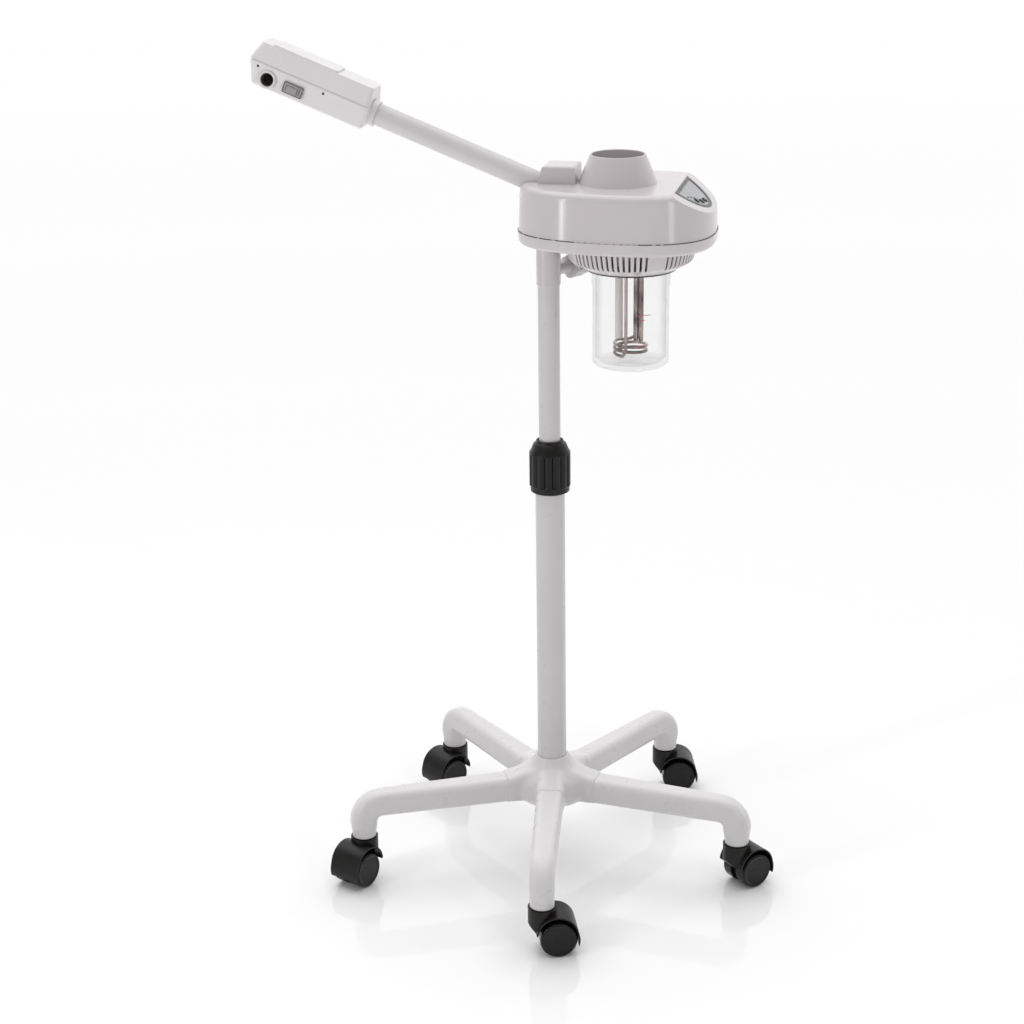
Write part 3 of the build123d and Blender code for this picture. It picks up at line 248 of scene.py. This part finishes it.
def lathe(name, outline, centre, axis=Vector((0, 0, 1)), steps=96, ripple=None):
    """Solid of revolution: outline is (radius, height) pairs along the axis from centre.
    ripple(angle, height) adds to the radius."""
    axis = Vector(axis).normalized()
    across = axis.orthogonal().normalized()
    over = axis.cross(across)
    vertices, faces = [], []
    for radius, height in outline:
        for step in range(steps):
            turn = 2 * math.pi * step / steps
            reach = radius + (ripple(turn, height) if ripple else 0.0)
            spoke = across * (reach * math.cos(turn)) + over * (reach * math.sin(turn))
            vertices.append(centre + axis * height + spoke)
    rows = len(outline)
    for row in range(rows - 1):
        this, above = row * steps, (row + 1) * steps
        for step in range(steps):
            after = (step + 1) % steps
            faces.append((this + step, this + after, above + after, above + step))
    faces.append(tuple(reversed(range(steps))))
    faces.append(tuple(range((rows - 1) * steps, rows * steps)))
    return mesh_from(name, vertices, faces)


def open_lathe(name, outline, centre, axis=Vector((0, 0, 1)), steps=72, ripple=None):
    """A ring of revolution, whose outline ends where it starts."""
    data = lathe(name, outline, centre, axis, steps, ripple)
    work = bmesh.new()
    work.from_mesh(data)
    caps = [f for f in work.faces if len(f.verts) > 4]
    bmesh.ops.delete(work, geom=caps, context="FACES")
    bmesh.ops.remove_doubles(work, verts=work.verts, dist=WELD)
    bmesh.ops.recalc_face_normals(work, faces=work.faces)
    work.to_mesh(data)
    work.free()
    return data


def wire(name, points, radius):
    """Round wire along points, as a mesh with capped ends."""
    curve = bpy.data.curves.new(name, "CURVE")
    curve.dimensions = "3D"
    curve.bevel_depth = radius
    curve.bevel_resolution = 3
    curve.use_fill_caps = True
    spline = curve.splines.new("POLY")
    spline.points.add(len(points) - 1)
    for point, place in zip(spline.points, points):
        point.co = (*place, 1.0)
    holder = bpy.data.objects.new(name, curve)
    data = bpy.data.meshes.new_from_object(holder)
    bpy.data.objects.remove(holder)
    data.name = name
    return data


def upright(place, level):
    """The place, moved straight up or down to a level."""
    return Vector((place.x, place.y, level))


def corners(node):
    """Lowest and highest corner of a node's box."""
    low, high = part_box(node)
    return Vector(low), Vector(high)


def middle(node):
    """Centre of a node's box."""
    low, high = corners(node)
    return (low + high) / 2


def clean_copy(node):
    """A node's mesh as a new bmesh, welded, with none of its normals carried over."""
    source = nodes[node].data
    places = [v.co for v in source.vertices]
    faces = [tuple(f.vertices) for f in source.polygons]
    data = mesh_from(node + "_copy", places, faces)
    work = bmesh.new()
    work.from_mesh(data)
    bmesh.ops.remove_doubles(work, verts=work.verts, dist=2 * WELD)
    bpy.data.meshes.remove(data)
    return work


# ------------------------------------------------- hub: soft webs between the legs

hub_low, hub_high = corners("base_hub")
tube_low, tube_high = corners("lower_tube")
tube_radius = (tube_high.x - tube_low.x) / 2
HUB_VOXEL = 0.0013
WEB_RADIUS = 0.049
FIXED_FROM = 0.052  # the sleeves keep their shape from this reach out
HUB_ROUNDS = 60  # rounds of smoothing


def hub_mesh():
    """The hub with a skirt between its sleeves, melted into one soft casting."""
    work = clean_copy("base_hub")
    skirt = lathe(
        "skirt",
        [
            (tube_radius + 0.0006, hub_low.z + 0.014),
            (WEB_RADIUS - 0.008, hub_low.z + 0.003),
            (WEB_RADIUS, hub_low.z + 0.010),
            (WEB_RADIUS - 0.004, hub_low.z + 0.024),
            (tube_radius + 0.010, hub_high.z - 0.011),
            (tube_radius + 0.0006, hub_high.z - 0.002),
        ],
        Vector((0, 0, 0)),
    )
    whole = bpy.data.meshes.new("base_casting")
    work.to_mesh(whole)
    work.free()
    body = bpy.data.objects.new("base_casting", whole)
    extra = bpy.data.objects.new("skirt", skirt)
    for item in (body, extra):
        bpy.context.scene.collection.objects.link(item)
    join = body.modifiers.new("join", "BOOLEAN")
    join.operation = "UNION"
    join.solver = "EXACT"
    join.object = extra
    remesh = body.modifiers.new("remesh", "REMESH")
    remesh.mode = "VOXEL"
    remesh.voxel_size = HUB_VOXEL
    graph = bpy.context.evaluated_depsgraph_get()
    result = bpy.data.meshes.new_from_object(body.evaluated_get(graph))
    bpy.data.objects.remove(body)
    bpy.data.objects.remove(extra)
    work = bmesh.new()
    work.from_mesh(result)
    off_the_floor = [v for v in work.verts if v.co.z > hub_low.z + 0.002]
    loose = [v for v in off_the_floor if tube_radius + 0.003 < math.hypot(v.co.x, v.co.y) < FIXED_FROM]
    for _ in range(HUB_ROUNDS):
        bmesh.ops.smooth_vert(
            work, verts=loose, factor=0.5, use_axis_x=True, use_axis_y=True, use_axis_z=True
        )
    work.to_mesh(result)
    work.free()
    return result


base_casting = new_piece("base_casting", hub_mesh(), "white_base", "base")
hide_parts("base_hub")

# ------------------------------------------------- collar: barrel with flutes

collar_low, collar_high = corners("twist_collar")
collar_height = collar_high.z - collar_low.z
collar_radius = (collar_high.x - collar_low.x) / 2
FLUTES = 14
FLUTE_DEPTH = 0.0026
FLUTE_START, FLUTE_END = 0.13, 0.76  # shares of the collar's height
FLUTE_RUN_OUT = 0.03
BARREL_ROWS = 26


def flute(turn, height):
    """Depth of the grip flutes, which run along the barrel only."""
    share = height / collar_height
    if share < FLUTE_START or share > FLUTE_END:
        return 0.0
    ends = min(1.0, (share - FLUTE_START) / FLUTE_RUN_OUT, (FLUTE_END - share) / FLUTE_RUN_OUT)
    wave = 0.5 + 0.5 * math.cos(FLUTES * turn)
    return -FLUTE_DEPTH * ends * (1.0 - wave**0.4)


def collar_mesh():
    """Foot ring, fluted barrel and a shoulder that closes on the upper tube."""
    bore = tube_radius + 0.0003
    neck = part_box("upper_tube")[1][0] + 0.0012
    outline = [
        (bore, 0.0),
        (collar_radius - 0.0035, 0.0),
        (collar_radius - 0.0015, 0.0012),
        (collar_radius - 0.0012, 0.0075),
        (collar_radius - 0.0004, 0.0083),
    ]
    first, last = 0.135, 0.755
    for row in range(BARREL_ROWS):
        share = first + (last - first) * row / (BARREL_ROWS - 1)
        outline.append((collar_radius, share * collar_height))
    outline += [
        (collar_radius - 0.0006, 0.775 * collar_height),
        (collar_radius - 0.0020, 0.80 * collar_height),
        (collar_radius - 0.0050, 0.92 * collar_height),
        (collar_radius - 0.0078, 0.95 * collar_height),
        (collar_radius - 0.0086, 0.99 * collar_height),
        (neck + 0.0006, collar_height),
        (neck, collar_height - 0.001),
        (neck, 0.75 * collar_height),
        (bore, 0.70 * collar_height),
        (bore, 0.0),
    ]
    foot = Vector((0, 0, collar_low.z))
    return open_lathe("grip_collar", outline, foot, steps=FLUTES * 16, ripple=flute)


grip_collar = new_piece("grip_collar", collar_mesh(), "black_collar", "collar")
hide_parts("twist_collar")

# ------------------------------------------------- heater: coil, hook and cold pins

jar_low, jar_high = corners("glass_jar")
jar_middle = middle("glass_jar")
coil_low, coil_high = corners("heater_coil")
coil_centre = Vector((middle("heater_coil").x, jar_middle.y, 0))
WIRE = 0.0019
COIL_RADIUS = 0.0185
COIL_TURNS = 2.3
COIL_RISE = 0.0135
COIL_STEPS = 40  # per turn
FRONT_LEG = math.radians(-96)  # heading of the leg from the middle of the coil
HOOK_TURN = math.radians(14)
HOOK_HEIGHT = 0.006
LEG_PROUD = 0.003  # how far the leg stands outside the coil
RETURN_RISE = 0.008
PIN_RADIUS = 0.0030
PIN_PLACES = (0.0065, 0.0125)
PIN_BACK = -0.002


def around(heading, reach):
    """Place at a heading and reach from the middle of the coil, at floor level."""
    return coil_centre + Vector((math.cos(heading), math.sin(heading), 0)) * reach


def coil_points():
    """One wire: down the front leg, round the hook, up the coil and back up the middle."""
    foot = coil_low.z + WIRE + 0.0006
    top = coil_high.z
    leg = around(FRONT_LEG, COIL_RADIUS + LEG_PROUD)
    points = []
    for step in range(12):
        points.append(upright(leg, top + (foot + HOOK_HEIGHT - top) * step / 11))
    for step in range(1, 9):
        bend = math.pi / 2 * step / 8
        heading = FRONT_LEG - HOOK_TURN * math.sin(bend)
        place = around(heading, COIL_RADIUS + LEG_PROUD * math.cos(bend))
        points.append(upright(place, foot + HOOK_HEIGHT * (1 - math.sin(bend))))
    turns = int(COIL_STEPS * COIL_TURNS)
    for step in range(1, turns + 1):
        heading = FRONT_LEG - HOOK_TURN - 2 * math.pi * COIL_TURNS * step / turns
        points.append(upright(around(heading, COIL_RADIUS), foot + COIL_RISE * step / turns))
    end = points[-1]
    inner = coil_centre + Vector((PIN_PLACES[0], PIN_BACK, 0))
    turn_up = end.z + RETURN_RISE
    for step in range(1, 9):
        share = step / 8
        points.append(upright(end.lerp(inner, share), end.z + RETURN_RISE * share * share))
    for step in range(1, 8):
        points.append(upright(inner, turn_up + (top - turn_up) * step / 7))
    return points


def heater_mesh():
    """Coil and two cold pins as one element."""
    pin_foot = coil_low.z + COIL_RISE + 0.004
    pin_outline = [
        (0.0005, 0.0),
        (PIN_RADIUS - 0.0004, 0.0012),
        (PIN_RADIUS, 0.004),
        (PIN_RADIUS, coil_high.z - pin_foot),
    ]
    parts = [wire("element", coil_points(), WIRE)]
    for side in PIN_PLACES:
        pin = coil_centre + Vector((side, PIN_BACK - side * 0.2, 0))
        parts.append(lathe("pin", pin_outline, upright(pin, pin_foot), steps=24))
    work = bmesh.new()
    for data in parts:
        work.from_mesh(data)
    whole = bpy.data.meshes.new("heater_element")
    work.to_mesh(whole)
    work.free()
    return whole


heater_element = new_piece("heater_element", heater_mesh(), "coil_steel", "head")
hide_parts("heater_coil")

# ------------------------------------------------- jar: level ticks

TICK_HEIGHT = 0.0007
TICK_PROUD = 0.0003
TICK_STEPS = 24
TICKS = {  # share of the jar's height, then first and last heading in degrees
    "max": (0.60, -72, -50),
    "max_short": (0.55, -70, -60),
    "min": (0.29, -72, -58),
}


def tick_mesh(name, radius, level, start, end):
    """Short raised arc on the outside of the jar."""
    vertices, faces = [], []
    for step in range(TICK_STEPS + 1):
        heading = math.radians(start + (end - start) * step / TICK_STEPS)
        spoke = Vector((math.cos(heading), math.sin(heading), 0))
        for reach in (radius, radius + TICK_PROUD):
            for lift in (0, TICK_HEIGHT):
                vertices.append(upright(jar_middle + spoke * reach, level + lift))
    for step in range(TICK_STEPS):
        a, b = 4 * step, 4 * step + 4
        for first, second in ((0, 1), (1, 3), (3, 2), (2, 0)):
            faces.append((a + first, b + first, b + second, a + second))
    faces.append((0, 1, 3, 2))
    last = 4 * TICK_STEPS
    faces.append((last, last + 2, last + 3, last + 1))
    return mesh_from(name, vertices, faces)


jar_radius = (jar_high.x - jar_low.x) / 2 - 0.001
jar_height = jar_high.z - jar_low.z
for tick, (share, start, end) in TICKS.items():
    arc = tick_mesh(f"level_{tick}", jar_radius, jar_low.z + share * jar_height, start, end)
    new_piece(f"level_{tick}", arc, "level_red", "jar")

# ------------------------------------------------- nozzle: paler shell, outlet and dark lines on the tray as painted shade

dress("nozzle_body", "nozzle_white")
dress("nozzle_lid", "nozzle_white")

roll_joint = next(j for j in record["behaviour"]["joints"] if j["name"] == "nozzle_roll")
along = Vector(roll_joint["axis"]).normalized()  # towards the far end of the nozzle
front = Vector((0, -1, 0))
rise = along.cross(front).normalized()
if rise.z < 0:
    rise = -rise
outlet_middle = middle("outlet_ring")
outlet_low, outlet_high = corners("outlet_ring")
outlet_radius = max(outlet_high.x - outlet_low.x, outlet_high.z - outlet_low.z) / 2
outlet_face = Vector((outlet_middle.x, outlet_low.y, outlet_middle.z))
bore_radius = 0.73 * outlet_radius
bezel_outline = [
    (bore_radius, -0.0006),
    (bore_radius + 0.0004, 0.0002),
    (outlet_radius - 0.0010, 0.0002),
    (outlet_radius, -0.0006),
    (outlet_radius, -0.0016),
    (bore_radius + 0.0012, -0.0018),
    (bore_radius + 0.0012, -0.0120),
    (bore_radius, -0.0120),
    (bore_radius, -0.0006),
]
bezel_mesh = open_lathe("outlet_bezel", bezel_outline, outlet_face, front)
outlet_bezel = new_piece("outlet_bezel", bezel_mesh, "outlet_white", "nozzle")
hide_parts("outlet_ring")
# the throat is coloured near black: painted shade inside the outlet's bore
throat_outline = [
    (bore_radius - 0.0003, -0.0022),
    (bore_radius - 0.0001, -0.0022),
    (bore_radius - 0.0001, -0.0118),
    (bore_radius - 0.0012, -0.0118),
    (bore_radius - 0.0012, -0.0100),
    (bore_radius - 0.0022, -0.0060),
    (bore_radius - 0.0003, -0.0022),
]
throat_mesh = open_lathe("outlet_throat", throat_outline, outlet_face, front)
new_piece("outlet_throat", throat_mesh, "outlet_brown", "nozzle")


MARK_DEPTH = 0.0006
MARK_CORNER = 0.0003
# dark strips on the tray: painted shade of the gap round it, of its grip and of its ribs
TRAY_SHADE_LINES = {  # shift along the nozzle, lift, width and height, in metres
    "top": (0, 0.0058, 0.0225, 0.0009),
    "bottom": (0, -0.0058, 0.0225, 0.0007),
    "left": (0.0112, 0, 0.0009, 0.0118),
    "right": (-0.0112, 0, 0.0009, 0.0118),
    "grip_top": (0.0025, 0.0028, 0.0110, 0.0007),
    "grip_left": (0.0082, -0.0004, 0.0007, 0.0070),
    "rib_one": (-0.0055, 0, 0.0009, 0.0085),
    "rib_two": (-0.0080, 0, 0.0009, 0.0085),
}


def shade_line_mesh(name, centre, width, height):
    """Thin dark strip with round corners on the front of the tray, painted shade of a gap or rib; centre
    is the middle of its face.
    """
    work = bmesh.new()
    ring = []
    for quarter, (side, level) in enumerate(((1, 1), (-1, 1), (-1, -1), (1, -1))):
        for step in range(5):
            turn = math.pi / 2 * (quarter + step / 4)
            across = side * (width / 2 - MARK_CORNER) + MARK_CORNER * math.cos(turn)
            over = level * (height / 2 - MARK_CORNER) + MARK_CORNER * math.sin(turn)
            ring.append(work.verts.new(centre + along * across + rise * over))
    face = work.faces.new(ring)
    back = bmesh.ops.extrude_face_region(work, geom=[face])
    moved = [v for v in back["geom"] if isinstance(v, bmesh.types.BMVert)]
    bmesh.ops.translate(work, verts=moved, vec=-front * MARK_DEPTH)
    bmesh.ops.recalc_face_normals(work, faces=work.faces)
    data = bpy.data.meshes.new(name)
    work.to_mesh(data)
    work.free()
    return data


tray_middle = middle("aroma_tray")
tray_front = corners("aroma_tray")[0].y
tray_face = Vector((tray_middle.x, tray_front, tray_middle.z))
for edge, (shift, lift, width, height) in TRAY_SHADE_LINES.items():
    place = tray_face + along * shift + rise * lift + front * MARK_DEPTH / 2
    mark = shade_line_mesh(f"tray_{edge}", place, width, height)
    new_piece(f"tray_{edge}", mark, "panel_dark", "tray")

# ------------------------------------------------- head: painted shadow of the gap at the parting line, as a dark band

shell_low, shell_high = corners("upper_housing")
shell_middle_x = (shell_low.x + shell_high.x) / 2
BAND_CUT = 0.0006  # level of the section above the parting line
BAND_STEP = 1.5  # degrees between points round the band
BAND_SECTION = ((0.0003, 0.0), (0.0003, 0.0009), (-0.0006, 0.0009), (-0.0006, 0.0))


def reach_of(place):
    """Distance from the middle of the shell, seen from above."""
    return math.hypot(place.x - shell_middle_x, place.y)


def shell_outline():
    """Points round the foot of the upper shell, the outermost one at each heading."""
    work = clean_copy("upper_housing")
    everything = work.verts[:] + work.edges[:] + work.faces[:]
    level = (0, 0, shell_low.z + BAND_CUT)
    cut = bmesh.ops.bisect_plane(work, geom=everything, plane_co=level, plane_no=(0, 0, 1))
    by_heading = {}
    for edge in cut["geom_cut"]:
        if not isinstance(edge, bmesh.types.BMEdge):
            continue
        for vert in edge.verts:
            heading = math.degrees(math.atan2(vert.co.y, vert.co.x - shell_middle_x))
            by_heading.setdefault(round(heading / BAND_STEP), []).append(vert.co.copy())
    work.free()
    return [max(by_heading[key], key=reach_of) for key in sorted(by_heading)]


def parting_shadow_band():
    """Thin dark band round the foot of the upper shell, painted shadow of the parting gap."""
    ring = shell_outline()
    vertices, faces = [], []
    for place in ring:
        out = Vector((place.x - shell_middle_x, place.y, 0)).normalized()
        for reach, lift in BAND_SECTION:
            vertices.append(upright(place + out * reach, shell_low.z + lift))
    sides = len(BAND_SECTION)
    for step in range(len(ring)):
        this, after = sides * step, sides * ((step + 1) % len(ring))
        for side in range(sides):
            beside = (side + 1) % sides
            faces.append((this + side, after + side, after + beside, this + beside))
    return mesh_from("parting_shadow_band", vertices, faces)


new_piece("parting_shadow_band", parting_shadow_band(), "painted_gap_shade", "head")

# ------------------------------------------------------------ camera and light


def look_from(place, heading, pitch, roll):
    """Camera matrix: heading is the horizontal look direction, pitch is down, roll about the view axis."""
    flat = Vector((heading[0], heading[1], 0)).normalized()
    forward = flat * math.cos(pitch) + Vector((0, 0, -math.sin(pitch)))
    right = forward.cross(Vector((0, 0, 1))).normalized()
    up = right.cross(forward)
    turn = Matrix((right, up, -forward)).transposed().to_4x4()
    return Matrix.Translation(place) @ turn @ Matrix.Rotation(roll, 4, "Z")


CAMERA_PLACE = Vector((0.4578, -2.3724, 1.2801))
CAMERA_HEADING = (-0.2079, 0.978)
CAMERA_PITCH = 0.3302  # radians below level
CAMERA_ROLL = -0.0136

camera_data = bpy.data.cameras.new("camera")
camera_data.sensor_width = 36.0
camera_data.lens = 75.576
camera_data.clip_end = 200.0
camera = bpy.data.objects.new("camera", camera_data)
bpy.context.scene.collection.objects.link(camera)
camera.matrix_world = look_from(CAMERA_PLACE, CAMERA_HEADING, CAMERA_PITCH, CAMERA_ROLL)
bpy.context.scene.camera = camera
bpy.context.scene.view_settings.view_transform = "Standard"

# the studio is brighter behind the object than in front of it
world = bpy.data.worlds.new("studio")
bpy.context.scene.world = world
world.use_nodes = True
sky = world.node_tree
sky_place = sky.nodes.new("ShaderNodeTexCoord")
sky_split = sky.nodes.new("ShaderNodeSeparateXYZ")
sky_level = sky.nodes.new("ShaderNodeMapRange")
sky_level.interpolation_type = "SMOOTHSTEP"
sky_level.inputs["From Min"].default_value = -0.35
sky_level.inputs["From Max"].default_value = 0.75
sky_level.inputs["To Min"].default_value = 0.4
sky_level.inputs["To Max"].default_value = 1.05
sky.links.new(sky_place.outputs["Generated"], sky_split.inputs["Vector"])
sky.links.new(sky_split.outputs["Y"], sky_level.inputs["Value"])
sky.links.new(sky_level.outputs["Result"], sky.nodes["Background"].inputs["Strength"])
sky.nodes["Background"].inputs["Color"].default_value = (1.0, 0.992, 0.998, 1)


def softbox(name, place, aim, width, height, power):
    """A soft rectangular studio light, pointed at aim."""
    data = bpy.data.lights.new(name, "AREA")
    data.shape = "RECTANGLE"
    data.size = width
    data.size_y = height
    data.energy = power
    light = bpy.data.objects.new(name, data)
    bpy.context.scene.collection.objects.link(light)
    place = Vector(place)
    direction = Vector(aim) - place
    turn = direction.to_track_quat("-Z", "Y").to_matrix().to_4x4()
    light.matrix_world = Matrix.Translation(place) @ turn


softbox("left_strip", (-1.5, -1.6, 1.0), (0.08, 0, 0.8), 0.12, 1.6, 9.0)
softbox("right_strip", (1.6, -1.6, 1.1), (0.08, 0, 0.8), 0.3, 1.4, 5.0)

sun_data = bpy.data.lights.new("overhead", "SUN")
sun_data.energy = 1.5
sun_data.angle = math.radians(70)
sun = bpy.data.objects.new("overhead", sun_data)
sun.rotation_euler = (math.radians(-10), math.radians(-6), 0)
bpy.context.scene.collection.objects.link(sun)

floor_material, _, floor_shader = new_material("floor")
floor_shader.inputs["Base Color"].default_value = (0.86, 0.86, 0.86, 1)
floor_shader.inputs["Roughness"].default_value = 0.03
floor_shader.inputs["IOR"].default_value = 1.5
FLOOR_HALF = 40
floor_corners = [(x * FLOOR_HALF, y * FLOOR_HALF, 0) for x, y in ((-1, -1), (1, -1), (1, 1), (-1, 1))]
floor = bpy.data.objects.new("floor", mesh_from("floor", floor_corners, [(0, 1, 2, 3)]))
floor.data.materials.append(floor_material)
bpy.context.scene.collection.objects.link(floor)
